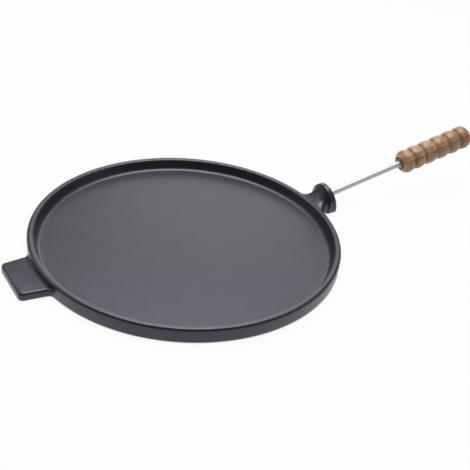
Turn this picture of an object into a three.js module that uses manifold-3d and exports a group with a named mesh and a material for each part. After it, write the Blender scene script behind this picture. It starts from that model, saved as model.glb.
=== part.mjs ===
// A shallow round cast iron pan with a low straight-sided lifting tab on one side. Opposite the tab a
// short neck ends in a thick round flange, and a bright steel rod screws into it. A turned wooden grip
// with six beads is screwed onto the far end of the rod and held there by a nut in its front hollow.
// Millimetres, +Z up. The flat underside of the dish lies on z = 0 with its centre at the origin, the
// handle runs towards +X and rises, and the tab points towards -X.
import * as THREE from 'three';
import { ParametricGeometry } from 'three/addons/geometries/ParametricGeometry.js';
import { mergeVertices } from 'three/addons/utils/BufferGeometryUtils.js';
import Module from 'manifold-3d';

// The round dish. Its outer wall leans in a little towards the base, its inner wall more.
const DISH_RADIUS = 180;
const DISH_HEIGHT = 17;
const BASE_LEAN = 0.6;
const DISH_BASE_RADIUS = DISH_RADIUS - BASE_LEAN;
const RIM_WIDTH = 6.6;
const RIM_INNER_RADIUS = DISH_RADIUS - RIM_WIDTH;
const FLOOR_LEAN = 4.1;
const FLOOR_RADIUS = RIM_INNER_RADIUS - FLOOR_LEAN;
const FLOOR_THICKNESS = 4.2;
const FLOOR_FILLET = 5;
const RIM_OUTER_ROUNDING = 1.7;
const RIM_INNER_ROUNDING = 1;
const BASE_ROUNDING = 1.2;

// The lifting tab, whose sides taper and run into the wall with a small curve.
const TAB_THICKNESS = 9;
const TAB_LENGTH = 29.4;
const TAB_REACH = DISH_RADIUS + TAB_LENGTH;
const TAB_ROOT_HALF_WIDTH = 33.5;
const TAB_TIP_HALF_WIDTH = 31.3;
const TAB_CORNER = 7;
const TAB_EDGE_ROUNDING = 1.8;
const TAB_ROOT_CURVE = 5.5;

// The neck, a horn that springs from the wall, narrows to a waist and opens out to the flange. It
// starts inside the wall, so that its root lies in the metal all round.
const NECK_SINK = 2;
const NECK_ROOT_SETBACK = 1.5;
const NECK_ROOT = DISH_RADIUS - NECK_ROOT_SETBACK;
const NECK_START = NECK_ROOT - NECK_SINK;
const NECK_ROOT_HALF_WIDTH = 29.5;
const NECK_WAIST_REACH = 5;
const NECK_WAIST = DISH_RADIUS + NECK_WAIST_REACH;
const NECK_WAIST_RADIUS = 13.6;
const NECK_AXIS_HEIGHT = 16;
const NECK_FRONT_RADIUS = 17.8;

// The flange: a round front face, a lip and a back face square to the rod.
const FLARE_LENGTH = 6.6;
const FLANGE_FRONT = NECK_WAIST + FLARE_LENGTH;
const FLANGE_LIP_RADIUS = 19.8;
const FLANGE_BACK_RADIUS = 20.7;
const FLANGE_THICKNESS = 10.7;
const FLANGE_BACK = FLANGE_FRONT + FLANGE_THICKNESS;
const FLANGE_BASE_HEIGHT = 3.6;
const FLANGE_LIP_ROUNDING = 2.2;
const FLANGE_LIP_SETBACK = 0.4;
const FLANGE_EDGE_ROUNDING = 1.4;

// The handle line, which leaves the flange above the middle of its back face.
const HANDLE_TILT = THREE.MathUtils.degToRad(11.2);
const HANDLE_OFFSET = 4.9;
const ROD_RADIUS = 4;
const ROD_SOCKET_DEPTH = 17;
const ROD_REACH = 150;
const ROD_END_CHAMFER = 0.8;
const SOCKET_END_GAP = 1;

// The turned grip: distances run along the rod from the back face of the flange.
const GRIP_START = 116;
const BEAD_LENGTHS = [17.2, 18, 20.2, 20.5, 19.4, 20.5];
const BEAD_RADIUS = 15.5;
const GROOVE_RADIUS = 12.4;
const GRIP_LIP_RADIUS = 9.8;
const GRIP_FIRST_CREST = 9.5;
const GRIP_LAST_CREST = 9.8;
const HOLLOW_RADIUS = 8.4;
const HOLLOW_DEPTH = 5.8;

// The nut in the front hollow and the threaded sleeve pressed into the wood behind it.
const NUT_WIDTH = 13;
const NUT_HEIGHT = 6.5;
const NUT_CHAMFER = 0.7;
const SLEEVE_RADIUS = 6;
const SLEEVE_LENGTH = 20;
const SLEEVE_RIB_HEIGHT = 0.8;
const SLEEVE_RIBS = 4;
const ROD_HOLE_END_GAP = 3;

// Play left between neighbouring pieces, and how far cutting tools overrun.
const FIT_GAP = 0.3;
const OVERRUN = 10;

// How finely the curves are divided.
const DISH_STEPS = 120;
const SMALL_STEPS = 32;
const GRIP_STEPS = 36;
const NECK_AROUND = 40;
const ROOT_STEPS = 7;
const FLARE_STEPS = 6;
const BEAD_STEPS = 8;
const ARC_STEPS = 4;
const NUT_SIDES = 6;

// Plain shape numbers: how boxy the root and the foot of the neck are, how fast its curves fade and
// how full the beads are.
const ROOT_SQUARENESS = 0.8;
const FOOT_SQUARENESS = 0.4;
const ROOT_WIDTH_FADE = 2;
const ROOT_HEIGHT_FADE = 1.6;
const FLARE_POWER = 2.1;
const BEAD_POWER = 2.3;

const wasm = await Module();
wasm.setup();

// Drops the triangles that have two corners in one place, as at the poles of a turned shape.
function withoutSlivers(geometry) {
  const index = geometry.index.array;
  const kept = [];
  for (let i = 0; i < index.length; i += 3) {
    const [a, b, c] = [index[i], index[i + 1], index[i + 2]];
    if (a !== b && b !== c && c !== a) kept.push(a, b, c);
  }
  geometry.setIndex(kept);
  return geometry;
}

// Turns a closed three.js geometry into a solid that can be joined and cut.
function solidOf(geometry) {
  geometry.deleteAttribute('normal');
  geometry.deleteAttribute('uv');
  const merged = withoutSlivers(mergeVertices(geometry));
  const vertProperties = new Float32Array(merged.attributes.position.array);
  const triVerts = new Uint32Array(merged.index.array);
  return new wasm.Manifold(new wasm.Mesh({ numProp: 3, vertProperties, triVerts }));
}

// Turns a solid back into a geometry.
function geometryOf(solid) {
  const mesh = solid.getMesh();
  const geometry = new THREE.BufferGeometry();
  geometry.setAttribute('position', new THREE.BufferAttribute(mesh.vertProperties, mesh.numProp));
  geometry.setIndex(new THREE.BufferAttribute(mesh.triVerts, 1));
  return geometry;
}

// Rounds the corners of an open outline. Each corner is [x, y] or [x, y, radius].
function roundedOutline(corners) {
  const points = [];
  corners.forEach(([x, y, radius], i) => {
    const corner = new THREE.Vector2(x, y);
    if (!radius) {
      points.push(corner);
      return;
    }
    const before = new THREE.Vector2(...corners[i - 1]).sub(corner).normalize();
    const after = new THREE.Vector2(...corners[i + 1]).sub(corner).normalize();
    const half = Math.acos(before.dot(after)) / 2;
    const middle = before.clone().add(after).normalize();
    const centre = corner.clone().addScaledVector(middle, radius / Math.sin(half));
    const start = corner.clone().addScaledVector(before, radius / Math.tan(half)).sub(centre);
    const turn = Math.sign(before.cross(after)) * (Math.PI - 2 * half);
    for (let k = 0; k <= ARC_STEPS; k += 1) {
      const arm = start.clone().rotateAround(new THREE.Vector2(), -turn * k / ARC_STEPS);
      points.push(arm.add(centre));
    }
  });
  return points;
}

// A solid turned about the Z axis from an outline of [radius, height] corners.
function turned(corners, steps) {
  return new THREE.LatheGeometry(roundedOutline(corners), steps).rotateX(Math.PI / 2);
}

// The frame of the handle: its origin is the point where the rod leaves the flange, and its Z axis
// runs outwards along the rod.
function handleFrame() {
  const origin = new THREE.Vector3(
    FLANGE_BACK - HANDLE_OFFSET * Math.sin(HANDLE_TILT),
    0,
    NECK_AXIS_HEIGHT + HANDLE_OFFSET * Math.cos(HANDLE_TILT),
  );
  const turn = new THREE.Quaternion().setFromEuler(new THREE.Euler(0, Math.PI / 2 - HANDLE_TILT, 0));
  return { origin, turn };
}

function dishGeometry() {
  return turned([
    [0, 0],
    [DISH_BASE_RADIUS, 0, BASE_ROUNDING],
    [DISH_RADIUS, DISH_HEIGHT, RIM_OUTER_ROUNDING],
    [RIM_INNER_RADIUS, DISH_HEIGHT, RIM_INNER_ROUNDING],
    [FLOOR_RADIUS, FLOOR_THICKNESS, FLOOR_FILLET],
    [0, FLOOR_THICKNESS],
  ], DISH_STEPS);
}

// The plan of the tab, drawn on the +X side and turned round to -X afterwards. Its inner end lies in
// the metal of the wall, just far enough for its rounded edges.
function tabGeometry() {
  const wideHalf = TAB_ROOT_HALF_WIDTH + TAB_ROOT_CURVE;
  const rootX = Math.sqrt(DISH_BASE_RADIUS ** 2 - TAB_ROOT_HALF_WIDTH ** 2);
  const wideX = Math.sqrt(DISH_BASE_RADIUS ** 2 - wideHalf ** 2);
  const innerX = wideX - 2 * TAB_EDGE_ROUNDING;
  const plan = new THREE.Shape();
  plan.moveTo(innerX, -wideHalf);
  plan.lineTo(wideX, -wideHalf);
  plan.quadraticCurveTo(rootX, -TAB_ROOT_HALF_WIDTH, rootX + TAB_ROOT_CURVE, -TAB_ROOT_HALF_WIDTH);
  plan.lineTo(TAB_REACH - TAB_CORNER, -TAB_TIP_HALF_WIDTH);
  plan.quadraticCurveTo(TAB_REACH, -TAB_TIP_HALF_WIDTH, TAB_REACH, TAB_CORNER - TAB_TIP_HALF_WIDTH);
  plan.lineTo(TAB_REACH, TAB_TIP_HALF_WIDTH - TAB_CORNER);
  plan.quadraticCurveTo(TAB_REACH, TAB_TIP_HALF_WIDTH, TAB_REACH - TAB_CORNER, TAB_TIP_HALF_WIDTH);
  plan.lineTo(rootX + TAB_ROOT_CURVE, TAB_ROOT_HALF_WIDTH);
  plan.quadraticCurveTo(rootX, TAB_ROOT_HALF_WIDTH, wideX, wideHalf);
  plan.lineTo(innerX, wideHalf);
  const tab = new THREE.ExtrudeGeometry(plan, {
    depth: TAB_THICKNESS - 2 * TAB_EDGE_ROUNDING,
    bevelThickness: TAB_EDGE_ROUNDING,
    bevelSize: TAB_EDGE_ROUNDING,
    bevelOffset: -TAB_EDGE_ROUNDING,
    bevelSegments: 3,
    curveSegments: 5,
  });
  return tab.translate(0, 0, TAB_EDGE_ROUNDING).rotateZ(Math.PI);
}

// The height of the flat underside of the neck and the flange, which rises as the rod does.
function baseHeight(x) {
  return FLANGE_BASE_HEIGHT + (x - FLANGE_FRONT) * Math.tan(HANDLE_TILT);
}

// The cross-sections of the neck and the flange, from inside the wall to the back face. Each has its
// place along X, half-width, top, bottom, squareness above and below, how far it bows with the rim
// and how far it leans with the back face.
function neckSections() {
  const sections = [];
  const waistTop = NECK_AXIS_HEIGHT + NECK_WAIST_RADIUS;
  const waistBottom = NECK_AXIS_HEIGHT - NECK_WAIST_RADIUS;
  for (let k = 0; k <= ROOT_STEPS; k += 1) {
    const left = 1 - k / ROOT_STEPS;
    const widthFade = left ** ROOT_WIDTH_FADE;
    const heightFade = left ** ROOT_HEIGHT_FADE;
    sections.push({
      x: NECK_WAIST - (NECK_WAIST - NECK_ROOT) * left,
      halfWidth: NECK_WAIST_RADIUS + (NECK_ROOT_HALF_WIDTH - NECK_WAIST_RADIUS) * widthFade,
      top: waistTop - (waistTop - DISH_HEIGHT) * heightFade,
      bottom: waistBottom * (1 - heightFade),
      power: 2 + ROOT_SQUARENESS * left,
      footPower: 2 + ROOT_SQUARENESS * left,
      bow: left,
      lean: 0,
    });
  }
  sections.unshift({ ...sections[0], x: NECK_START });
  const round = (x, radius, foot, lean) => sections.push({
    x,
    halfWidth: radius,
    top: NECK_AXIS_HEIGHT + radius,
    bottom: NECK_AXIS_HEIGHT - radius,
    power: 2,
    footPower: 2 + FOOT_SQUARENESS * foot,
    bow: 0,
    lean,
  });
  for (let k = 1; k <= FLARE_STEPS; k += 1) {
    const done = k / FLARE_STEPS;
    const opening = (NECK_FRONT_RADIUS - NECK_WAIST_RADIUS) * done ** FLARE_POWER;
    round(NECK_WAIST + (FLANGE_FRONT - NECK_WAIST) * done, NECK_WAIST_RADIUS + opening, done, 0);
  }
  const edge = roundedOutline([
    [FLANGE_FRONT, NECK_FRONT_RADIUS],
    [FLANGE_FRONT + FLANGE_LIP_SETBACK, FLANGE_LIP_RADIUS, FLANGE_LIP_ROUNDING],
    [FLANGE_BACK, FLANGE_BACK_RADIUS, FLANGE_EDGE_ROUNDING],
    [FLANGE_BACK, 0],
  ]);
  edge.slice(1).forEach(({ x, y }) => {
    round(x, y, 1, (x - FLANGE_FRONT) / (FLANGE_BACK - FLANGE_FRONT));
  });
  return sections;
}

// A point on a cross-section at a turn from 0 to 1, no lower than the flat underside.
function neckPoint(section, turn, target) {
  const angle = 2 * Math.PI * turn;
  const power = Math.sin(angle) < 0 ? section.footPower : section.power;
  const across = Math.sign(Math.cos(angle)) * Math.abs(Math.cos(angle)) ** (2 / power);
  const upward = Math.sign(Math.sin(angle)) * Math.abs(Math.sin(angle)) ** (2 / power);
  const y = section.halfWidth * across;
  const middle = (section.top + section.bottom) / 2;
  const z = Math.max(middle + (section.top - middle) * upward, baseHeight(section.x));
  const bow = section.bow * (DISH_RADIUS - Math.sqrt(DISH_RADIUS ** 2 - y ** 2));
  const lean = section.lean * (z - NECK_AXIS_HEIGHT) * Math.tan(HANDLE_TILT);
  target.set(section.x - bow - lean, y, z);
}

// The neck and flange as one closed skin through the cross-sections, with both ends closed.
function neckGeometry() {
  const sections = neckSections();
  const first = sections[0];
  const middle = (first.top + first.bottom) / 2;
  sections.unshift({ ...first, halfWidth: 0, top: middle, bottom: middle });
  const last = sections.length - 1;
  const skin = (turn, along, target) => {
    const section = sections[Math.round(along * last)];
    neckPoint(section, turn % 1, target);
  };
  return new ParametricGeometry(skin, NECK_AROUND, last);
}

// The tapped hole for the rod, drawn as a plain hole.
function socketGeometry() {
  const radius = ROD_RADIUS + FIT_GAP;
  const { origin, turn } = handleFrame();
  return turned([
    [0, -ROD_SOCKET_DEPTH - SOCKET_END_GAP],
    [radius, -ROD_SOCKET_DEPTH - SOCKET_END_GAP],
    [radius, OVERRUN],
    [0, OVERRUN],
  ], SMALL_STEPS).applyQuaternion(turn).translate(...origin.toArray());
}

function panGeometry() {
  const casting = solidOf(dishGeometry()).add(solidOf(tabGeometry())).add(solidOf(neckGeometry()));
  return geometryOf(casting.subtract(solidOf(socketGeometry())));
}

function rodGeometry() {
  return turned([
    [0, -ROD_SOCKET_DEPTH],
    [ROD_RADIUS - ROD_END_CHAMFER, -ROD_SOCKET_DEPTH],
    [ROD_RADIUS, ROD_END_CHAMFER - ROD_SOCKET_DEPTH],
    [ROD_RADIUS, ROD_REACH - ROD_END_CHAMFER],
    [ROD_RADIUS - ROD_END_CHAMFER, ROD_REACH],
    [0, ROD_REACH],
  ], SMALL_STEPS);
}

// The outer outline of the grip: a quarter oval up to the first crest, beads with a groove between
// neighbours, and a quarter oval down to the far end.
function gripOutline() {
  const points = [];
  const total = BEAD_LENGTHS.reduce((sum, length) => sum + length);
  const rise = BEAD_RADIUS - GROOVE_RADIUS;
  const frontSpan = GRIP_FIRST_CREST / Math.sqrt(1 - (GRIP_LIP_RADIUS / BEAD_RADIUS) ** 2);
  let start = 0;
  BEAD_LENGTHS.forEach((length, bead) => {
    const isFirst = bead === 0;
    const isLast = bead === BEAD_LENGTHS.length - 1;
    const crest = isFirst ? GRIP_FIRST_CREST : isLast ? GRIP_LAST_CREST : length / 2;
    for (let k = isFirst ? 0 : 1; k <= BEAD_STEPS; k += 1) {
      const place = length * (1 - Math.cos(Math.PI * k / BEAD_STEPS)) / 2;
      const back = place > crest;
      const reach = back ? (place - crest) / (length - crest) : (crest - place) / crest;
      let radius = BEAD_RADIUS - rise * reach ** BEAD_POWER;
      if (isFirst && !back) radius = BEAD_RADIUS * Math.sqrt(1 - ((crest - place) / frontSpan) ** 2);
      if (isLast && back) radius = BEAD_RADIUS * Math.sqrt(Math.max(0, 1 - reach ** 2));
      points.push([k === BEAD_STEPS && isLast ? 0 : radius, GRIP_START + start + place]);
    }
    start += length;
  });
  points[points.length - 1][1] = GRIP_START + total;
  return points;
}

// The wooden grip, hollow in front for the nut, with a stepped blind hole for the sleeve and the rod.
function gripGeometry() {
  const holeRadius = ROD_RADIUS + FIT_GAP;
  const sleeveHole = SLEEVE_RADIUS + SLEEVE_RIB_HEIGHT + FIT_GAP;
  const sleeveEnd = GRIP_START + HOLLOW_DEPTH + SLEEVE_LENGTH + FIT_GAP;
  return turned([
    [0, ROD_REACH + ROD_HOLE_END_GAP],
    [holeRadius, ROD_REACH + ROD_HOLE_END_GAP],
    [holeRadius, sleeveEnd],
    [sleeveHole, sleeveEnd],
    [sleeveHole, GRIP_START + HOLLOW_DEPTH],
    [HOLLOW_RADIUS, GRIP_START + HOLLOW_DEPTH],
    [HOLLOW_RADIUS, GRIP_START],
    ...gripOutline(),
  ], GRIP_STEPS);
}

// A six-sided nut with chamfered corners: a prism cut by a turned blank of the same height. It rests
// on the floor of the hollow and stands a little proud of the wood.
function nutGeometry() {
  const corner = NUT_WIDTH / 2 / Math.cos(Math.PI / NUT_SIDES);
  const start = GRIP_START + HOLLOW_DEPTH - FIT_GAP - NUT_HEIGHT;
  const prism = new THREE.CylinderGeometry(corner, corner, NUT_HEIGHT, NUT_SIDES)
    .rotateX(Math.PI / 2)
    .translate(0, 0, start + NUT_HEIGHT / 2);
  const blank = turned([
    [0, start],
    [corner - NUT_CHAMFER, start],
    [corner, start + NUT_CHAMFER],
    [corner, start + NUT_HEIGHT - NUT_CHAMFER],
    [corner - NUT_CHAMFER, start + NUT_HEIGHT],
    [0, start + NUT_HEIGHT],
  ], SMALL_STEPS);
  const hole = new THREE.CylinderGeometry(
    ROD_RADIUS + FIT_GAP,
    ROD_RADIUS + FIT_GAP,
    NUT_HEIGHT + 2 * OVERRUN,
    SMALL_STEPS,
  ).rotateX(Math.PI / 2).translate(0, 0, start + NUT_HEIGHT / 2);
  return geometryOf(solidOf(prism).intersect(solidOf(blank)).subtract(solidOf(hole)));
}

// The sleeve in the wood: a tube with ribs round it that bite into the bore.
function sleeveGeometry() {
  const start = GRIP_START + HOLLOW_DEPTH;
  const inner = ROD_RADIUS + FIT_GAP;
  const pitch = SLEEVE_LENGTH / SLEEVE_RIBS;
  const corners = [[inner, start]];
  for (let rib = 0; rib < SLEEVE_RIBS; rib += 1) {
    corners.push([SLEEVE_RADIUS, start + pitch * rib]);
    corners.push([SLEEVE_RADIUS + SLEEVE_RIB_HEIGHT, start + pitch * (rib + 1)]);
  }
  corners.push([inner, start + SLEEVE_LENGTH], [inner, start]);
  return turned(corners, SMALL_STEPS);
}

function part(name, geometry, color, roughness, metalness) {
  const material = new THREE.MeshStandardMaterial({ color, roughness, metalness });
  const mesh = new THREE.Mesh(geometry, material);
  mesh.name = name;
  return mesh;
}

const object = new THREE.Group();
object.add(part('pan', panGeometry(), 0x5f5c64, 0.6, 0.3));

const handle = new THREE.Group();
const { origin, turn } = handleFrame();
handle.position.copy(origin);
handle.quaternion.copy(turn);
handle.add(
  part('handle_rod', rodGeometry(), 0xc9cad0, 0.25, 1),
  part('grip', gripGeometry(), 0xa9805c, 0.5, 0),
  part('grip_nut', nutGeometry(), 0xb9bac0, 0.3, 1),
  part('grip_sleeve', sleeveGeometry(), 0xb08d4a, 0.4, 1),
);
object.add(handle);

export default object;
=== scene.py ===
# %% [markdown]
# # A cast iron pan with a screwed-in wooden grip
#
# The real pan is one iron casting: a shallow dish, a low lifting tab, and a short neck that ends in a
# thick flange. A bright steel rod screws into the flange, and a turned wooden grip sits on its far end.
# The CAD model already has these pieces in their right places. This lesson gives each of them a finer
# mesh and a real finish, lights them as a photographer would, and sets the camera.

import math

import bmesh
import bpy
from mathutils import Euler, Matrix, Vector


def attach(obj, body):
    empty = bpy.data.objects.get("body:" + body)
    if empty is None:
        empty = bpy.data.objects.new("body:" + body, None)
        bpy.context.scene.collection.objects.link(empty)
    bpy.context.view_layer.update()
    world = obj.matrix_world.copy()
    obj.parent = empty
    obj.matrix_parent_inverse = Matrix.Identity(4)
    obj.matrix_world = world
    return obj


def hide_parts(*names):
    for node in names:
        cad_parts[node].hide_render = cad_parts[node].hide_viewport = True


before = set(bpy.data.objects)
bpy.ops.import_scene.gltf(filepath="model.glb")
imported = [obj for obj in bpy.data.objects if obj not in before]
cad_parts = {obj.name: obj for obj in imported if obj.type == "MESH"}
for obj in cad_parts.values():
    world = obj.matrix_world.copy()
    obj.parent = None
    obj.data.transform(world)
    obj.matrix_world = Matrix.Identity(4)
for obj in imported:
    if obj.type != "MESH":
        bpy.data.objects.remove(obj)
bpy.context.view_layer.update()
print("CAD nodes:", sorted(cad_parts))

# %% [markdown]
# ## Camera
#
# The camera comes first, because every later choice is judged through it. Its place was solved from
# the circles of the rim, the floor and the base in the picture. It looks down at about a third of a
# right angle, with the tab at the lower left and the handle at the upper right. Blender's camera looks
# along its own -Z axis, so its three axes are written as the columns of a matrix. The small shifts of
# the lens, in parts of the picture's side, bring the pan to its exact place in the frame.

# %% Set the camera
MM = 0.001
CAMERA_HEADING = math.radians(325.744)
CAMERA_ELEVATION = math.radians(32.693)
CAMERA_ROLL = math.radians(6.326)
CAMERA_PLACE = Vector((-0.41916, -0.71647, 0.54948))
CAMERA_LENS_MM = 65.29
PICTURE_SIDE = 470
SHIFT_ACROSS = -0.6 / PICTURE_SIDE
SHIFT_UP = 0.2 / PICTURE_SIDE
SENSOR_WIDTH_MM = 36

heading_side = Vector((math.cos(CAMERA_HEADING), math.sin(CAMERA_HEADING), 0))
heading_ahead = Vector((-math.sin(CAMERA_HEADING), math.cos(CAMERA_HEADING), 0))
straight_up = Vector((0, 0, 1))
camera_back = math.sin(CAMERA_ELEVATION) * straight_up - math.cos(CAMERA_ELEVATION) * heading_ahead
level_up = camera_back.cross(heading_side)
camera_right = math.cos(CAMERA_ROLL) * heading_side + math.sin(CAMERA_ROLL) * level_up
camera_up = camera_back.cross(camera_right)

camera_data = bpy.data.cameras.new("camera")
camera_data.lens = CAMERA_LENS_MM
camera_data.sensor_width = SENSOR_WIDTH_MM
camera_data.shift_x, camera_data.shift_y = SHIFT_ACROSS, SHIFT_UP
camera = bpy.data.objects.new("camera", camera_data)
axes = Matrix((camera_right, camera_up, camera_back)).transposed()
camera.matrix_world = Matrix.Translation(CAMERA_PLACE) @ axes.to_4x4()
bpy.context.scene.collection.objects.link(camera)
bpy.context.scene.camera = camera
print("camera is", round(CAMERA_PLACE.length, 3), "m from the middle of the dish")

# %% [markdown]
# ## Node helper
#
# All finishes and the turned pieces are node trees. Building a tree in code is mostly adding a node,
# setting a few of its values and wiring its inputs, so one small function does these three jobs. A
# socket is found by its name, or by its number where two share a name.

# %% Add nodes in one line each
def add_node(tree, kind, inputs=None, **settings):
    """Adds a node, sets its properties, and wires or fills its inputs."""
    node = tree.nodes.new(kind)
    for name, value in settings.items():
        setattr(node, name, value)
    for name, value in (inputs or {}).items():
        if isinstance(value, bpy.types.NodeSocket):
            tree.links.new(value, node.inputs[name])
        else:
            node.inputs[name].default_value = value
    return node


def add_math(tree, operation, first, second=0.0):
    """Adds a Math node and returns its result."""
    return add_node(tree, "ShaderNodeMath", {0: first, 1: second}, operation=operation).outputs[0]


# %% [markdown]
# ## A finish starts from real coordinates
#
# Every finish reads Object coordinates. The finished pieces sit at the origin unturned, so these are
# metres in the pan's own frame, and a noise of 1000 grains per metre has grains about a millimetre
# across. Nearly all values of a noise lie between 0.3 and 0.7, so most ranges below start and end there.
# The pieces on the handle have their grain along the rod, so a Mapping node turns the coordinates until
# their Z axis runs along it.

# %% Start a material
HANDLE_TILT = math.radians(11.2)
HANDLE_PLACE = Vector((201.348, 0, 20.807)) * MM
HANDLE_TURN = Euler((0, math.pi / 2 - HANDLE_TILT, 0))
NOISE_LOW, NOISE_HIGH = 0.3, 0.7


def new_finish(name):
    """Returns a material, its tree, its Principled shader and its Object coordinates."""
    material = bpy.data.materials.new(name)
    material.use_nodes = True
    tree = material.node_tree
    shader = tree.nodes["Principled BSDF"]
    place = add_node(tree, "ShaderNodeTexCoord").outputs["Object"]
    return material, tree, shader, place


def along_handle(tree, place):
    """Turns coordinates so that Z runs along the rod from the flange."""
    turned = add_node(tree, "ShaderNodeMapping", {
        "Vector": place, "Location": HANDLE_PLACE, "Rotation": HANDLE_TURN}, vector_type="TEXTURE")
    return turned.outputs[0]


def add_noise(tree, place, scale, detail=2.0, roughness=0.5):
    """Adds a Noise Texture and returns its value."""
    noise = add_node(tree, "ShaderNodeTexNoise", {
        "Vector": place, "Scale": scale, "Detail": detail, "Roughness": roughness})
    return noise.outputs[0]


def add_stretch(tree, place, across, along):
    """Scales coordinates across the handle and along it. Less than 1 draws a pattern out."""
    stretched = add_node(tree, "ShaderNodeMapping", {"Vector": place, "Scale": (across, across, along)})
    return stretched.outputs[0]


def add_range(tree, value, low, high, to_low=0.0, to_high=1.0):
    """Maps a value from one range to another, clamped at both ends."""
    mapped = add_node(tree, "ShaderNodeMapRange", {
        "Value": value, "From Min": low, "From Max": high, "To Min": to_low, "To Max": to_high})
    return mapped.outputs[0]


def add_mix(tree, factor, first, second, blend="MIX"):
    """Mixes two colours and returns the result."""
    mix = add_node(tree, "ShaderNodeMix", {0: factor}, data_type="RGBA", blend_type=blend)
    for socket, value in ((mix.inputs[6], first), (mix.inputs[7], second)):
        if isinstance(value, bpy.types.NodeSocket):
            tree.links.new(value, socket)
        else:
            socket.default_value = (*value, 1)
    return mix.outputs[2]


def add_grey(tree, value):
    """Turns one value into a grey colour."""
    return add_node(tree, "ShaderNodeCombineColor", {0: value, 1: value, 2: value}).outputs[0]


def add_bump(tree, height, distance, strength=1.0, below=None):
    """Adds a Bump node, stacked on another one if given, and returns its normal."""
    inputs = {"Height": height, "Distance": distance, "Strength": strength}
    if below is not None:
        inputs["Normal"] = below
    return add_node(tree, "ShaderNodeBump", inputs).outputs[0]


print("handle starts", round(HANDLE_PLACE.length / MM, 1), "mm from the middle of the base")

# %% [markdown]
# ## Cast iron
#
# Iron that was poured into a sand mould keeps the print of the sand: a skin of fine grains about a
# millimetre across, with a broader unevenness below it. The skin is dark violet grey and matt, and it
# shines softly where light grazes it. Three noises give the uneven skin, its grains and their finer
# grit as bump, and a broad one makes the colour drift a little from place to place.

# %% Make the cast iron finish
IRON_DARK = (0.024, 0.022, 0.029)
IRON_LIGHT = (0.029, 0.0265, 0.035)
IRON_SHEEN = (0.86, 0.80, 1.0, 1)
IRON_GLOSS = 1.65
IRON_ROUGH_LOW, IRON_ROUGH_HIGH = 0.29, 0.36
PATCHES_PER_METRE, PATCH_LOW, PATCH_HIGH = 45, 0.35, 0.65
DIMPLES_PER_METRE, DIMPLE_DEPTH = 320, 0.15 * MM
GRAINS_PER_METRE, GRAIN_DEPTH = 900, 0.14 * MM
GRIT_PER_METRE, GRIT_DEPTH = 2600, 0.05 * MM
SPECKLE_DARK, SPECKLE_LIGHT = 0.86, 1.12
SKIN_STRENGTH, GRIT_STRENGTH = 0.8, 0.6

iron, tree, shader, place = new_finish("cast iron skin")
patches = add_noise(tree, place, PATCHES_PER_METRE, detail=4)
dimples = add_noise(tree, place, DIMPLES_PER_METRE)
grains = add_noise(tree, place, GRAINS_PER_METRE, roughness=0.6)
grit = add_noise(tree, place, GRIT_PER_METRE, detail=1)
drift = add_range(tree, patches, PATCH_LOW, PATCH_HIGH)
speckle = add_range(tree, grains, NOISE_LOW, NOISE_HIGH, SPECKLE_DARK, SPECKLE_LIGHT)
skin_colour = add_mix(tree, drift, IRON_DARK, IRON_LIGHT)
speckled = add_mix(tree, 1.0, skin_colour, add_grey(tree, speckle), "MULTIPLY")
tree.links.new(speckled, shader.inputs["Base Color"])
iron_roughness = add_range(tree, grains, NOISE_LOW, NOISE_HIGH, IRON_ROUGH_LOW, IRON_ROUGH_HIGH)
tree.links.new(iron_roughness, shader.inputs["Roughness"])
shader.inputs["IOR"].default_value = IRON_GLOSS
shader.inputs["Specular Tint"].default_value = IRON_SHEEN
uneven_skin = add_bump(tree, dimples, DIMPLE_DEPTH, SKIN_STRENGTH)
grainy_skin = add_bump(tree, grains, GRAIN_DEPTH, SKIN_STRENGTH, uneven_skin)
tree.links.new(add_bump(tree, grit, GRIT_DEPTH, GRIT_STRENGTH, grainy_skin), shader.inputs["Normal"])
print("cast iron has grains of about", round(1 / GRAINS_PER_METRE / MM, 1), "mm")

# %% [markdown]
# ## Bright plated steel
#
# The rod is drawn bar with a bright plating. Drawing leaves very fine lines along it, so the noise
# that breaks up the gloss is stretched a hundredfold along the rod. In the picture it shines softly,
# like satin rather than like a mirror, so its roughness is high. A metal takes its look from what
# surrounds it, so the colour stays plain, and only the gloss, the haze and the relief vary.

# %% Make the rod's finish
ROD_COLOUR = (0.69, 0.69, 0.73)
ROD_ROUGH_LOW, ROD_ROUGH_HIGH = 0.62, 0.7
LINES_PER_METRE, LINE_DRAW, LINE_DEPTH = 4000, 0.01, 0.004 * MM
HAZE_PER_METRE, HAZE_SHADE = 120, 0.93

plating, tree, shader, place = new_finish("bright plated steel")
on_rod = along_handle(tree, place)
lines = add_noise(tree, add_stretch(tree, on_rod, 1, LINE_DRAW), LINES_PER_METRE)
haze = add_noise(tree, on_rod, HAZE_PER_METRE, detail=3)
shader.inputs["Metallic"].default_value = 1
hazed = add_grey(tree, add_range(tree, haze, NOISE_LOW, NOISE_HIGH, HAZE_SHADE, 1.0))
tree.links.new(add_mix(tree, 1.0, ROD_COLOUR, hazed, "MULTIPLY"), shader.inputs["Base Color"])
rod_roughness = add_range(tree, lines, NOISE_LOW, NOISE_HIGH, ROD_ROUGH_LOW, ROD_ROUGH_HIGH)
tree.links.new(rod_roughness, shader.inputs["Roughness"])
tree.links.new(add_bump(tree, lines, LINE_DEPTH), shader.inputs["Normal"])
print("the rod's lines are drawn out", round(1 / LINE_DRAW), "times")
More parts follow.
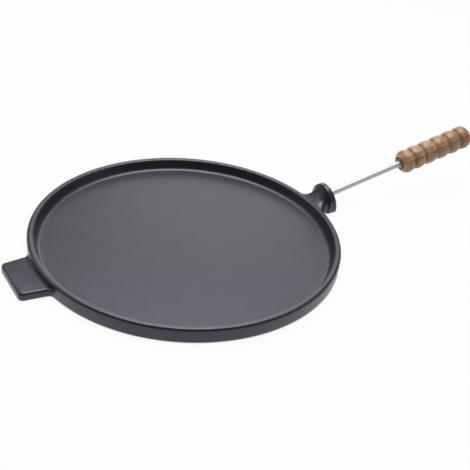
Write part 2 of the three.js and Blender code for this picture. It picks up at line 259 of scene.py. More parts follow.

# %% [markdown]
# ## Turned brown wood
#
# The grip is turned from a hardwood with its grain along the rod. Its colour is built in layers: soft
# clouds where the stain soaked in unevenly, wavy growth rings, streaks and short dark pores drawn out
# along the grain, and faint lines that the turning tool left round the beads. The rings come from a Wave
# texture centred well outside the grip, as the heart of the tree was. With a scale of 1 such a texture
# repeats every 0.314 units, so its scale isn't a count of rings per metre. The wood is a little darker
# towards its far end, and shade is painted into the grooves between the beads, which are found by the
# distance from the rod's axis. The hollow at the front lies as near the axis, so the painted shade
# starts behind it.

# %% Lay the patterns of the wood
AXIS_FROM_HEART = Vector((-34, 21, 0)) * MM
WAVE_PERIOD = 0.314
RING_SCALE, RING_DRAW = 60, 0.08
RING_WAVINESS, RING_DETAIL, RING_DETAIL_SCALE = 7.0, 3.0, 0.8
STREAKS_PER_METRE, PORES_PER_METRE, GRAIN_DRAW = 300, 1900, 0.2
CLOUDS_PER_METRE = 90
TOOL_LINES_PER_METRE, TOOL_LINE_DRAW = 620, 0.03

wood, tree, shader, place = new_finish("turned brown wood")
on_grip = along_handle(tree, place)
from_heart = add_node(tree, "ShaderNodeMapping", {
    "Vector": on_grip, "Location": AXIS_FROM_HEART, "Scale": (1, 1, RING_DRAW)}).outputs[0]
rings = add_node(tree, "ShaderNodeTexWave", {
    "Vector": from_heart, "Scale": RING_SCALE, "Distortion": RING_WAVINESS,
    "Detail": RING_DETAIL, "Detail Scale": RING_DETAIL_SCALE},
    wave_type="RINGS", rings_direction="Z").outputs[1]
along_grain = add_stretch(tree, on_grip, 1, GRAIN_DRAW)
streaks = add_noise(tree, along_grain, STREAKS_PER_METRE, detail=4, roughness=0.6)
pores = add_noise(tree, along_grain, PORES_PER_METRE, detail=1)
clouds = add_noise(tree, on_grip, CLOUDS_PER_METRE, detail=4, roughness=0.65)
tool_lines = add_noise(tree, add_stretch(tree, on_grip, TOOL_LINE_DRAW, 1), TOOL_LINES_PER_METRE)
print("growth rings are about", round(WAVE_PERIOD / RING_SCALE / MM, 1), "mm apart")

# %% Colour the wood
WOOD_LIGHT = (0.62, 0.375, 0.205)
WOOD_DARK = (0.275, 0.132, 0.06)
WOOD_PORE_AND_SHADE = (0.10, 0.047, 0.024)
RING_SHARE, STREAK_SHARE, CLOUD_SHARE = 0.12, 0.25, 0.63
TONE_DARK, TONE_LIGHT = 0.34, 0.66
PORE_EDGE, PORE_MIDDLE, PORE_SHADE = 0.36, 0.28, 0.3
LINE_EDGE, LINE_MIDDLE, LINE_SHADE = 0.45, 0.34, 0.45

ring_tone = add_math(tree, "MULTIPLY", rings, RING_SHARE)
streak_tone = add_math(tree, "MULTIPLY", streaks, STREAK_SHARE)
cloud_tone = add_math(tree, "MULTIPLY", clouds, CLOUD_SHARE)
tone = add_math(tree, "ADD", add_math(tree, "ADD", ring_tone, streak_tone), cloud_tone)
figure = add_mix(tree, add_range(tree, tone, TONE_DARK, TONE_LIGHT), WOOD_DARK, WOOD_LIGHT)
in_pores = add_range(tree, pores, PORE_EDGE, PORE_MIDDLE, 0.0, PORE_SHADE)
in_lines = add_range(tree, tool_lines, LINE_EDGE, LINE_MIDDLE, 0.0, LINE_SHADE)
with_lines = add_mix(tree, in_lines, add_mix(tree, in_pores, figure, WOOD_PORE_AND_SHADE), WOOD_PORE_AND_SHADE)
print("the shares of the tone add up to", round(RING_SHARE + STREAK_SHARE + CLOUD_SHARE, 2))

# %% Paint shade into the grooves and darken the far end
DARKER_FROM, DARKEST_FROM, END_SHADE = 160 * MM, 215 * MM, 0.6
GROOVE_SHADE_EDGE, GROOVE_SHADE_FULL, GROOVE_SHADE_DARKNESS = 12.9 * MM, 12.5 * MM, 0.35
FRONT_END, GROOVES_FROM = 122 * MM, 127 * MM

split = add_node(tree, "ShaderNodeSeparateXYZ", {0: on_grip})
towards_end = add_range(tree, split.outputs[2], DARKER_FROM, DARKEST_FROM, 0.0, END_SHADE)
aged = add_mix(tree, towards_end, with_lines, WOOD_DARK)
across = add_node(tree, "ShaderNodeCombineXYZ", {0: split.outputs[0], 1: split.outputs[1]}).outputs[0]
from_axis = add_node(tree, "ShaderNodeVectorMath", {0: across}, operation="LENGTH").outputs["Value"]
# Painted shade: in the grooves, close to the rod's axis, the colour is pulled towards the dark pore
# colour.
painted_shade = add_range(tree, from_axis, GROOVE_SHADE_EDGE, GROOVE_SHADE_FULL, 0.0, GROOVE_SHADE_DARKNESS)
past_front = add_range(tree, split.outputs[2], FRONT_END, GROOVES_FROM)
painted_groove_shade = add_math(tree, "MULTIPLY", painted_shade, past_front)
tree.links.new(add_mix(tree, painted_groove_shade, aged, WOOD_PORE_AND_SHADE), shader.inputs["Base Color"])
print("stain lies within", round(GROOVE_SHADE_EDGE / MM, 1), "mm of the rod's axis")

# %% Give the wood its gloss and relief
WOOD_ROUGH, WOOD_SMOOTH = 0.5, 0.38
COAT_WEIGHT, COAT_ROUGHNESS = 0.6, 0.42
TOOL_MARK_SCALE, TOOL_MARK_WAVINESS, TOOL_MARK_DEPTH = 420, 1.5, 0.01 * MM
PORE_DEPTH, WOOD_STRENGTH = 0.05 * MM, 0.6

wood_roughness = add_range(tree, streaks, NOISE_LOW, NOISE_HIGH, WOOD_ROUGH, WOOD_SMOOTH)
tree.links.new(wood_roughness, shader.inputs["Roughness"])
tool_marks = add_node(tree, "ShaderNodeTexWave", {
    "Vector": on_grip, "Scale": TOOL_MARK_SCALE, "Distortion": TOOL_MARK_WAVINESS},
    bands_direction="Z").outputs[1]
turned_relief = add_bump(tree, tool_marks, TOOL_MARK_DEPTH, WOOD_STRENGTH)
tree.links.new(add_bump(tree, pores, PORE_DEPTH, WOOD_STRENGTH, turned_relief), shader.inputs["Normal"])
shader.inputs["Coat Weight"].default_value = COAT_WEIGHT
shader.inputs["Coat Roughness"].default_value = COAT_ROUGHNESS
print("wood tree has", len(tree.nodes), "nodes")

# %% [markdown]
# ## The small fittings
#
# The nut is plain grey steel with the round marks of its facing cut, and the sleeve hidden in the wood
# is turned brass. Both get a fine ring pattern round the rod's axis, broken up by noise.

# %% Make the nut and sleeve finishes
NUT_COLOUR, NUT_RING_SCALE, NUT_ROUGHNESS = (0.24, 0.23, 0.225), 900, 0.4
BRASS_COLOUR, BRASS_RING_SCALE, BRASS_ROUGHNESS = (0.62, 0.43, 0.16), 600, 0.3
DIRT_PER_METRE, DIRT_FROM, DIRT_SHARE, DIRT_SHADE = 700, 0.4, 0.4, 0.6
DIRT_ROUGHNESS = 0.12
CUT_DEPTH, CUT_WAVINESS = 0.01 * MM, 2.0


def turned_metal(name, colour, ring_scale, roughness):
    """A metal with fine rings round the rod's axis."""
    material, tree, shader, place = new_finish(name)
    on_rod = along_handle(tree, place)
    cuts = add_node(tree, "ShaderNodeTexWave", {
        "Vector": on_rod, "Scale": ring_scale, "Distortion": CUT_WAVINESS},
        wave_type="RINGS", rings_direction="Z").outputs[1]
    dirt = add_noise(tree, on_rod, DIRT_PER_METRE, detail=3)
    shader.inputs["Metallic"].default_value = 1
    dirty = add_range(tree, dirt, DIRT_FROM, NOISE_HIGH, 0.0, DIRT_SHARE)
    worn = add_mix(tree, dirty, colour, [DIRT_SHADE * part for part in colour])
    tree.links.new(worn, shader.inputs["Base Color"])
    dulled = add_range(tree, dirt, NOISE_LOW, NOISE_HIGH, roughness, roughness + DIRT_ROUGHNESS)
    tree.links.new(dulled, shader.inputs["Roughness"])
    tree.links.new(add_bump(tree, cuts, CUT_DEPTH), shader.inputs["Normal"])
    return material


nut_steel = turned_metal("plain grey steel", NUT_COLOUR, NUT_RING_SCALE, NUT_ROUGHNESS)
brass = turned_metal("turned brass", BRASS_COLOUR, BRASS_RING_SCALE, BRASS_ROUGHNESS)
print("made", nut_steel.name, "and", brass.name)

# %% [markdown]
# ## Outlines with rounded corners
#
# The dish, the rod and the grip are round, so each is described by half of its outline, drawn as
# distance from the axis and height. Castings and turned work have no sharp corners: a sharp one would
# not leave the mould, and it would cut the cook. Each corner can carry a radius, and it is replaced by
# a short arc that runs smoothly into both sides.

# %% Round the corners of an outline
def rounded(corners, steps=8):
    """Corners are (x, y) or (x, y, radius) in millimetres. Returns points."""
    points = []
    for i, (x, y, *radius) in enumerate(corners):
        corner = Vector((x, y))
        if not radius:
            points.append(corner)
            continue
        before = (Vector(corners[i - 1][:2]) - corner).normalized()
        after = (Vector(corners[i + 1][:2]) - corner).normalized()
        half = math.acos(before.dot(after)) / 2
        centre = corner + (before + after).normalized() * (radius[0] / math.sin(half))
        arm = corner + before * (radius[0] / math.tan(half)) - centre
        side = before.x * after.y - before.y * after.x
        turn = math.copysign(math.pi - 2 * half, side)
        for k in range(steps + 1):
            points.append(centre + Matrix.Rotation(-turn * k / steps, 2) @ arm)
    return points


# %% [markdown]
# ## A lathe made of Geometry Nodes
#
# A round piece could be made with the Screw modifier, or by spinning it in edit mode. A node tree does
# the same job and shows how it works: it lays out a flat grid with one row for each outline point and
# one column for each step of the turn, with one more to meet the first. It then moves every grid point
# to its outline point, turned about the axis. A grid point's row is its number divided by the columns,
# rounded down, and half a point is added first so that rounding errors can't tip it over. Where the ends
# meet, and at the poles, the doubled points are merged, which closes the skin. The last nodes put the
# piece in its place and give it its finish.

# %% Build the lathe
TAU = 2 * math.pi
WELD_DISTANCE = 0.001 * MM
ROUNDING_GUARD = 0.5


def build_lathe():
    """A tree that turns an outline of points in the XZ plane about the Z axis."""
    tree = bpy.data.node_groups.new("lathe", "GeometryNodeTree")
    tree.is_modifier = True
    face = tree.interface
    face.new_socket(name="Outline", in_out="INPUT", socket_type="NodeSocketGeometry")
    face.new_socket(name="Turn Steps", in_out="INPUT", socket_type="NodeSocketInt")
    face.new_socket(name="Place", in_out="INPUT", socket_type="NodeSocketVector")
    face.new_socket(name="Tilt", in_out="INPUT", socket_type="NodeSocketVector")
    face.new_socket(name="Finish", in_out="INPUT", socket_type="NodeSocketMaterial")
    face.new_socket(name="Turned Piece", in_out="OUTPUT", socket_type="NodeSocketGeometry")
    given = add_node(tree, "NodeGroupInput").outputs

    rows = add_node(tree, "GeometryNodeAttributeDomainSize", {"Geometry": given["Outline"]}).outputs[0]
    columns = add_math(tree, "ADD", given["Turn Steps"], 1)
    grid = add_node(tree, "GeometryNodeMeshGrid", {"Vertices X": rows, "Vertices Y": columns})
    number = add_node(tree, "GeometryNodeInputIndex").outputs[0]
    guarded = add_math(tree, "ADD", number, ROUNDING_GUARD)
    row = add_math(tree, "FLOOR", add_math(tree, "DIVIDE", guarded, columns))
    column = add_math(tree, "SUBTRACT", number, add_math(tree, "MULTIPLY", row, columns))

    on_outline = add_node(tree, "GeometryNodeSampleIndex", {
        "Geometry": given["Outline"], "Value": add_node(tree, "GeometryNodeInputPosition").outputs[0],
        "Index": row}, data_type="FLOAT_VECTOR")
    angle = add_math(tree, "MULTIPLY", add_math(tree, "DIVIDE", column, given["Turn Steps"]), TAU)
    turned = add_node(tree, "ShaderNodeVectorRotate", {
        "Vector": on_outline.outputs[0], "Angle": angle}, rotation_type="Z_AXIS")
    bent = add_node(tree, "GeometryNodeSetPosition", {
        "Geometry": grid.outputs[0], "Position": turned.outputs[0]})
    outward = add_node(tree, "GeometryNodeFlipFaces", {"Mesh": bent.outputs[0]})
    closed = add_node(tree, "GeometryNodeMergeByDistance", {
        "Geometry": outward.outputs[0], "Distance": WELD_DISTANCE})

    tilt = add_node(tree, "FunctionNodeEulerToRotation", {0: given["Tilt"]}).outputs[0]
    placed = add_node(tree, "GeometryNodeTransform", {
        "Geometry": closed.outputs[0], "Translation": given["Place"], "Rotation": tilt})
    single = add_node(tree, "GeometryNodeRealizeInstances", {0: placed.outputs[0]})
    finished = add_node(tree, "GeometryNodeSetMaterial", {
        "Geometry": single.outputs[0], "Material": given["Finish"]})
    add_node(tree, "NodeGroupOutput", {"Turned Piece": finished.outputs[0]})
    return tree


lathe = build_lathe()
print("lathe tree has", len(lathe.nodes), "nodes")

# %% [markdown]
# ## Using the lathe
#
# The outline becomes a small mesh of loose points, the tree is put on it as a modifier, and the result
# is taken over as a plain mesh. Inputs of such a modifier are set by the socket's identifier, because
# two sockets may share a name. Smooth shading with sharp edges kept is then decided by angle.

# %% Turn a piece
SHARP_ANGLE = math.radians(32)


def add_object(name, mesh):
    """Puts a mesh into the scene as an object."""
    piece = bpy.data.objects.new(name, mesh)
    bpy.context.scene.collection.objects.link(piece)
    return piece


def smooth_shade(mesh):
    """Smooth faces, with edges sharper than the limit kept crisp."""
    mesh.polygons.foreach_set("use_smooth", [True] * len(mesh.polygons))
    mesh.set_sharp_from_angle(angle=SHARP_ANGLE)


def bake_modifiers(piece):
    """Replaces an object's mesh by its modified mesh and removes its modifiers."""
    result = bpy.data.meshes.new_from_object(piece.evaluated_get(bpy.context.evaluated_depsgraph_get()))
    piece.modifiers.clear()
    piece.data = result
    smooth_shade(result)


def turn_piece(name, outline, steps, finish, place=Vector(), tilt=Euler()):
    """Turns an outline of (radius, height) points in millimetres into a finished mesh."""
    mesh = bpy.data.meshes.new(name)
    mesh.from_pydata([(x * MM, 0, y * MM) for x, y in outline], [], [])
    piece = add_object(name, mesh)
    modifier = piece.modifiers.new("lathe", "NODES")
    modifier.node_group = lathe
    values = {"Turn Steps": steps, "Place": place, "Tilt": tilt, "Finish": finish}
    for socket in lathe.interface.items_tree:
        if socket.name in values:
            modifier[socket.identifier] = values[socket.name]
    bpy.context.view_layer.update()
    bake_modifiers(piece)
    print(name, "has", len(piece.data.polygons), "faces")
    return piece


# %% [markdown]
# ## The dish
#
# The dish is 360 mm across and 17 mm high, with a flat floor and a narrow rim whose top falls a little
# inwards, which is why it catches light at the front and at the back. Its inner wall leans outwards so
# that the mould could be drawn off, and runs into the floor with a soft fillet. It is the obvious piece
# for the lathe. Extra rings in the floor keep its faces from running to the middle as long slivers.

# %% Turn the dish
DISH_RADIUS, DISH_HEIGHT, DISH_STEPS = 180, 17, 360
BASE_RADIUS, BASE_ROUNDING = 179.4, 1.8
RIM_OUTER_ROUNDING = 3.2
RIM_CREST_RADIUS, RIM_CREST_ROUNDING = 176.4, 4
RIM_INNER_RADIUS, RIM_INNER_ROUNDING, RIM_DROP = 172.9, 2.2, 0.8
FLOOR_RADIUS, FLOOR_FILLET, FLOOR_THICKNESS = 168.9, 5.4, 4.2
FLOOR_RINGS, FLAT_SHARE = 12, 0.95

flat_radius = FLOOR_RADIUS * FLAT_SHARE
floor_rings = [(flat_radius * (1 - k / FLOOR_RINGS), FLOOR_THICKNESS) for k in range(FLOOR_RINGS)]
base_rings = [(radius, 0) for radius, _ in reversed(floor_rings)]
dish_outline = rounded([
    (0, 0),
    *base_rings,
    (BASE_RADIUS, 0, BASE_ROUNDING),
    (DISH_RADIUS, DISH_HEIGHT, RIM_OUTER_ROUNDING),
    (RIM_CREST_RADIUS, DISH_HEIGHT, RIM_CREST_ROUNDING),
    (RIM_INNER_RADIUS, DISH_HEIGHT - RIM_DROP, RIM_INNER_ROUNDING),
    (FLOOR_RADIUS, FLOOR_THICKNESS, FLOOR_FILLET),
    *floor_rings,
    (0, FLOOR_THICKNESS),
])
dish = turn_piece("cast_pan", dish_outline, DISH_STEPS, iron)

# %% [markdown]
# ## Skins through rings
#
# The tab and the neck aren't round, but every slice across them is a simple closed ring. A ring of
# points for each slice, joined to the next one by a strip of faces, gives a skin, and one many-sided
# face closes each end. This is how a boat's hull is planked over its frames. It needs the same number of
# points in each ring.

# %% Skin a row of rings
def skin_rings(name, rings, finish):
    """Joins rings of (x, y, z) millimetre points into one closed mesh."""
    shape = bmesh.new()
    loops = [[shape.verts.new(Vector(point) * MM) for point in ring] for ring in rings]
    for ring, following in zip(loops, loops[1:]):
        for i in range(len(ring)):
            shape.faces.new((ring[i - 1], ring[i], following[i], following[i - 1]))
    shape.faces.new(loops[0])
    shape.faces.new(reversed(loops[-1]))
    bmesh.ops.recalc_face_normals(shape, faces=shape.faces)
    mesh = bpy.data.meshes.new(name)
    shape.to_mesh(mesh)
    shape.free()
    mesh.materials.append(finish)
    smooth_shade(mesh)
    return add_object(name, mesh)


# %% [markdown]
# ## The neck and flange
#
# The neck springs from the wall as a wide low fan, draws in within a few millimetres, and opens like a
# trumpet to the flange. Its slices are superellipses. A power of 2 gives an ordinary ellipse, as at the
# top of the flange, and a higher one a boxier shape, as at the root, where it lies against the wall. The
# lower half is a little boxier all the way. Three rules shape it further. The root bows with the round
# rim, the back face leans until it is square to the rod, and the underside is cut off flat along a line
# that rises with the rod.

# %% Describe the slices of the neck
NECK_ROOT, FLANGE_FRONT, FLANGE_BACK = 178.5, 191.6, 202.3
NECK_AXIS_HEIGHT = 16
UNDERSIDE_HEIGHT = 3.6
POINTS_AROUND = 128
ROUND, FLAT_FOOT = 2, 2.4


def neck_ring(x, half_width, top, bottom, power, foot_power, bow=0, lean=0):
    """One slice of the neck as a ring of points."""
    ring = []
    middle = (top + bottom) / 2
    underside = UNDERSIDE_HEIGHT + (x - FLANGE_FRONT) * math.tan(HANDLE_TILT)
    for k in range(POINTS_AROUND):
        angle = TAU * k / POINTS_AROUND
        cosine, sine = math.cos(angle), math.sin(angle)
        exponent = 2 / (foot_power if sine < 0 else power)
        y = half_width * math.copysign(abs(cosine) ** exponent, cosine)
        z = middle + (top - middle) * math.copysign(abs(sine) ** exponent, sine)
        z = max(z, underside)
        bowed = bow * (DISH_RADIUS - math.sqrt(DISH_RADIUS ** 2 - y ** 2))
        leant = lean * (z - NECK_AXIS_HEIGHT) * math.tan(HANDLE_TILT)
        ring.append((x - bowed - leant, y, z))
    return ring


# %% Build the neck
ROOT_TOP, ROOT_HALF_WIDTH, WAIST_HALF_WIDTH, FRONT_RADIUS = 17.6, 29.5, 16.4, 17.8
NECK_SLICES, NECK_SINK = 48, 2
FAN_POWER, FLARE_POWER, ROOT_SQUARENESS = 3.2, 8, 0.8
STEADY_RISE, LATE_RISE = 0.55, 0.45

front_top, front_bottom = NECK_AXIS_HEIGHT + FRONT_RADIUS, NECK_AXIS_HEIGHT - FRONT_RADIUS
neck_rings = []
for k in range(NECK_SLICES + 1):
    done = k / NECK_SLICES
    left = 1 - done
    x = NECK_ROOT + (FLANGE_FRONT - NECK_ROOT) * done
    half_width = WAIST_HALF_WIDTH + (ROOT_HALF_WIDTH - WAIST_HALF_WIDTH) * left ** FAN_POWER
    half_width += (FRONT_RADIUS - WAIST_HALF_WIDTH) * done ** FLARE_POWER
    top = ROOT_TOP + (front_top - ROOT_TOP) * (STEADY_RISE * done + LATE_RISE * done ** 3)
    slice_shape = (half_width, top, front_bottom * done, ROUND + ROOT_SQUARENESS * left, FLAT_FOOT)
    if k == 0:
        neck_rings.append(neck_ring(x - NECK_SINK, *slice_shape, bow=1))
    neck_rings.append(neck_ring(x, *slice_shape, bow=left ** 2))
print("neck is", 2 * WAIST_HALF_WIDTH, "mm wide at its waist and", 2 * FRONT_RADIUS, "mm at the flange")

# %% Add the flange
LIP_SETBACK, LIP_RADIUS, LIP_ROUNDING = 0.4, 19.8, 2.2
BACK_RADIUS, BACK_ROUNDING, BACK_MIDDLE = 20.7, 1.4, 0.5

flange_outline = rounded([
    (FLANGE_FRONT, FRONT_RADIUS),
    (FLANGE_FRONT + LIP_SETBACK, LIP_RADIUS, LIP_ROUNDING),
    (FLANGE_BACK, BACK_RADIUS, BACK_ROUNDING),
    (FLANGE_BACK, BACK_MIDDLE),
])
for x, radius in flange_outline[1:]:
    top, bottom = NECK_AXIS_HEIGHT + radius, NECK_AXIS_HEIGHT - radius
    lean = (x - FLANGE_FRONT) / (FLANGE_BACK - FLANGE_FRONT)
    neck_rings.append(neck_ring(x, radius, top, bottom, ROUND, FLAT_FOOT, lean=lean))
neck = skin_rings("neck", neck_rings, iron)
print("neck and flange have", len(neck_rings), "slices")

# %% [markdown]
# ## The lifting tab
#
# The tab is a flat plate 9 mm thick for the other hand, with rounded corners and edges. Where it meets
# the wall the casting has a soft cove, because a sharp inner corner would crack as the iron cools. The
# tab is built of rings stacked in height: each ring is the plan of the tab, drawn in a little where
# the edges round off. The cove is a thin wedge with a hollow face that follows the wall.

# %% Draw the plan of the tab
TAB_THICKNESS, TAB_REACH, TAB_CORNER = 9, 209.4, 7
TAB_TOP_EDGE, TAB_BOTTOM_EDGE = 3.0, 1.8
TAB_ROOT_HALF, TAB_TIP_HALF, TAB_ROOT_CURVE = 33.5, 31.3, 5.5
CURVE_STEPS = 10


def curve_through(start, control, end):
    """Points of a quadratic curve, without its first one."""
    points = []
    for k in range(1, CURVE_STEPS + 1):
        t = k / CURVE_STEPS
        points.append((1 - t) ** 2 * start + 2 * t * (1 - t) * control + t ** 2 * end)
    return points


def half_tab_plan():
    """Half of the plan, from the inner end to the middle of the tip."""
    wide = TAB_ROOT_HALF + TAB_ROOT_CURVE
    wide_root = math.sqrt(BASE_RADIUS ** 2 - wide ** 2)
    root = math.sqrt(BASE_RADIUS ** 2 - TAB_ROOT_HALF ** 2)
    root_corner = Vector((root, TAB_ROOT_HALF))
    root_end = Vector((root + TAB_ROOT_CURVE, TAB_ROOT_HALF))
    tip_corner = Vector((TAB_REACH, TAB_TIP_HALF))
    tip_end = Vector((TAB_REACH, TAB_TIP_HALF - TAB_CORNER))
    points = [Vector((wide_root - 2 * TAB_TOP_EDGE, wide)), Vector((wide_root, wide))]
    points += curve_through(points[-1], root_corner, root_end)
    points.append(Vector((TAB_REACH - TAB_CORNER, TAB_TIP_HALF)))
    points += curve_through(points[-1], tip_corner, tip_end)
    return points


half_plan = half_tab_plan()
tab_plan = half_plan + [Vector((point.x, -point.y)) for point in reversed(half_plan)]
print("tab plan has", len(tab_plan), "points")

# %% Draw the plan inwards
SHARPEST_CORNER = 0.5


def drawn_in(plan, amount):
    """The plan moved inwards by an amount, square to its sides."""
    moved = []
    for i, point in enumerate(plan):
        before = (point - plan[i - 1]).normalized()
        after = (plan[(i + 1) % len(plan)] - point).normalized()
        normals = [Vector((side.y, -side.x)) for side in (before, after)]
        corner = (normals[0] + normals[1]).normalized()
        moved.append(point + corner * (amount / max(SHARPEST_CORNER, corner.dot(normals[0]))))
    return moved


# %% Build the tab
EDGE_STEPS = 8

tab_rings = []
for start_height, edge, direction in (
    (TAB_BOTTOM_EDGE, TAB_BOTTOM_EDGE, -1),
    (TAB_THICKNESS - TAB_TOP_EDGE, TAB_TOP_EDGE, 1),
):
    for k in range(EDGE_STEPS + 1):
        turn = math.pi / 2 * (k if direction > 0 else EDGE_STEPS - k) / EDGE_STEPS
        inset = edge * (1 - math.cos(turn))
        height = start_height + direction * edge * math.sin(turn)
        tab_rings.append([(-point.x, point.y, height) for point in drawn_in(tab_plan, inset)])
tab = skin_rings("tab", tab_rings, iron)
print("tab has", len(tab_rings), "rings")

# %% Build the cove between the tab and the wall
COVE, COVE_END, COVE_FADE = 5.0, 0.05, 10
COVE_OVERRUN, COVE_STEPS = 1.5, 48
IN_WALL, IN_TAB, BELOW_TOP = 2, 1, 0.02

cove_half_angle = math.asin((TAB_ROOT_HALF + COVE_OVERRUN) / DISH_RADIUS)
wall = BASE_RADIUS + (DISH_RADIUS - BASE_RADIUS) * TAB_THICKNESS / DISH_HEIGHT
seat = TAB_THICKNESS - BELOW_TOP
cove_rings = []
for k in range(COVE_STEPS + 1):
    share = 2 * k / COVE_STEPS - 1
    angle = math.pi + share * cove_half_angle
    size = max(COVE_END, COVE * (1 - abs(share) ** COVE_FADE))
    profile = [(wall - IN_WALL, TAB_THICKNESS - IN_TAB), (wall + size, TAB_THICKNESS - IN_TAB)]
    for j in range(EDGE_STEPS + 1):
        turn = math.pi / 2 * j / EDGE_STEPS
        profile.append((wall + size * (1 - math.sin(turn)), seat + size * (1 - math.cos(turn))))
    profile.append((wall - IN_WALL, seat + size))
    cove_rings.append([(radius * math.cos(angle), radius * math.sin(angle), z) for radius, z in profile])
cove = skin_rings("cove", cove_rings, iron)
print("cove has", len(cove_rings), "slices")

# %% [markdown]
# ## One casting
#
# In the real pan these shapes were never separate: the iron filled them all in one pour. A Boolean
# union joins them and removes what lies inside the metal. A turned plug is then cut away for the
# tapped hole in the flange.

# %% Join the casting
HOLE_RADIUS, SOCKET_DEPTH, SOCKET_OVERRUN, SOCKET_STEPS = 4.3, 18, 10, 48


def plug(radius, start, end):
    """The outline of a plain round plug between two places along the handle."""
    return [(0, start), (radius, start), (radius, end), (0, end)]


socket = turn_piece("socket", plug(HOLE_RADIUS, -SOCKET_DEPTH, SOCKET_OVERRUN), SOCKET_STEPS, iron,
                    HANDLE_PLACE, HANDLE_TURN)


def combine(piece, tool, operation):
    """Joins or cuts with another object, which is used up."""
    step = piece.modifiers.new("join", "BOOLEAN")
    step.object, step.operation, step.solver = tool, operation, "MANIFOLD"
    bpy.context.view_layer.update()
    bake_modifiers(piece)
    bpy.data.objects.remove(tool)


for tool in (tab, cove, neck):
    combine(dish, tool, "UNION")
combine(dish, socket, "DIFFERENCE")
print("casting has", len(dish.data.polygons), "faces")

# %% [markdown]
# ## The rod
#
# The rod is 8 mm bar, chamfered at both ends so that it starts easily in its threads. Turned on the
# lathe, it only needs its tilt and its place on the handle line.

# %% Turn the rod
ROD_RADIUS, ROD_REACH, ROD_DEPTH, ROD_STEPS = 4, 150, 17, 72
ROD_CHAMFER, ROD_ROUNDING, ROD_ROUNDING_STEPS = 0.8, 0.2, 3

rod_outline = rounded([
    (0, -ROD_DEPTH),
    (ROD_RADIUS - ROD_CHAMFER, -ROD_DEPTH, ROD_ROUNDING),
    (ROD_RADIUS, ROD_CHAMFER - ROD_DEPTH, ROD_ROUNDING),
    (ROD_RADIUS, ROD_REACH - ROD_CHAMFER, ROD_ROUNDING),
    (ROD_RADIUS - ROD_CHAMFER, ROD_REACH, ROD_ROUNDING),
    (0, ROD_REACH),
], ROD_ROUNDING_STEPS)
rod = turn_piece("plated_rod", rod_outline, ROD_STEPS, plating, HANDLE_PLACE, HANDLE_TURN)

# %% [markdown]
# ## The grip
#
# The grip follows a rule: six beads, each a full curve that falls to the same groove depth, so the
# outline is computed bead by bead. The first bead starts as part of an oval at the lip of the hollow,
# and the last one closes with a quarter oval. Points crowd towards the grooves, where the outline
# bends most. A fine ridge, which the turner leaves between two cuts, runs round the bottom of each
# groove, so the points near a groove are then replaced by those of its ridge.

# %% Compute the outline of the grip
GRIP_START, BEAD_LENGTHS = 116, (17.2, 18, 20.2, 20.5, 19.4, 20.43)
BEAD_RADIUS, GROOVE_RADIUS, FRONT_LIP_RADIUS = 15.44, 12.5, 8.5
FIRST_CREST, LAST_CREST = 9.5, 9.8
BEAD_STEPS, BEAD_FULLNESS = 22, 2.3

front_span = FIRST_CREST / math.sqrt(1 - (FRONT_LIP_RADIUS / BEAD_RADIUS) ** 2)
beads, start = [], 0
for number, length in enumerate(BEAD_LENGTHS):
    is_first, is_last = number == 0, number == len(BEAD_LENGTHS) - 1
    crest = FIRST_CREST if is_first else LAST_CREST if is_last else length / 2
    for k in range(0 if is_first else 1, BEAD_STEPS + 1):
        along = length * (1 - math.cos(math.pi * k / BEAD_STEPS)) / 2
        reach = (along - crest) / (length - crest) if along > crest else (crest - along) / crest
        radius = BEAD_RADIUS - (BEAD_RADIUS - GROOVE_RADIUS) * reach ** BEAD_FULLNESS
        if is_first and along <= crest:
            radius = BEAD_RADIUS * math.sqrt(1 - ((crest - along) / front_span) ** 2)
        if is_last and along > crest:
            radius = BEAD_RADIUS * math.sqrt(max(0, 1 - reach ** 2))
        beads.append((radius, GRIP_START + start + along))
    start += length
beads[-1] = (0, GRIP_START + start)
print("grip is", round(start, 1), "mm long")

# %% Put a fine ridge in each groove
RIDGE_RADIUS, RIDGE_HALF_WIDTH, RIDGE_SHARE, RIDGE_STEPS = 13.6, 1.9, 0.6, 12

groove = GRIP_START
for length in BEAD_LENGTHS[:-1]:
    groove += length
    before = [point for point in beads if point[1] < groove - RIDGE_HALF_WIDTH]
    after = [point for point in beads if point[1] > groove + RIDGE_HALF_WIDTH]
    ridge = []
    for k in range(1, RIDGE_STEPS):
        offset = 2 * k / RIDGE_STEPS - 1
        height = 0
        if abs(offset) < RIDGE_SHARE:
            height = math.cos(offset * math.pi / (2 * RIDGE_SHARE)) ** 2
        radius = GROOVE_RADIUS + (RIDGE_RADIUS - GROOVE_RADIUS) * height
        ridge.append((radius, groove + offset * RIDGE_HALF_WIDTH))
    beads = before + ridge + after
print("outline of the beads has", len(beads), "points")

# %% Turn the grip
HOLLOW_RADIUS, HOLLOW_DEPTH, HOLLOW_ROUNDING, FRONT_ROUNDING = 7.9, 5.8, 0.6, 0.25
SLEEVE_HOLE, SLEEVE_END, BORE_END = 7.1, 142.1, 153
GRIP_STEPS, GRIP_ROUNDING_STEPS = 128, 4

hollow_floor = GRIP_START + HOLLOW_DEPTH
grip_outline = rounded([
    (0, BORE_END),
    (HOLE_RADIUS, BORE_END),
    (HOLE_RADIUS, SLEEVE_END),
    (SLEEVE_HOLE, SLEEVE_END),
    (SLEEVE_HOLE, hollow_floor),
    (HOLLOW_RADIUS, hollow_floor, HOLLOW_ROUNDING),
    (HOLLOW_RADIUS, GRIP_START, FRONT_ROUNDING),
    *beads,
], GRIP_ROUNDING_STEPS)
grip = turn_piece("wooden_grip", grip_outline, GRIP_STEPS, wood, HANDLE_PLACE, HANDLE_TURN)

# %% [markdown]
# ## The nut
#
# A hexagon nut starts as a six-sided prism. Its corners are cut by a cone on both faces, which is what
# leaves the round bright ring on a real nut. A prism and a chamfered blank from the lathe are
# intersected, and the hole is cut through.

# %% Make the nut
NUT_SIDES, NUT_WIDTH, NUT_HEIGHT, NUT_CHAMFER = 6, 13, 6.5, 0.7
BEHIND_NUT, HOLE_START, HOLE_END = 0.3, 100, 130
BLANK_STEPS, HOLE_STEPS = 96, 64

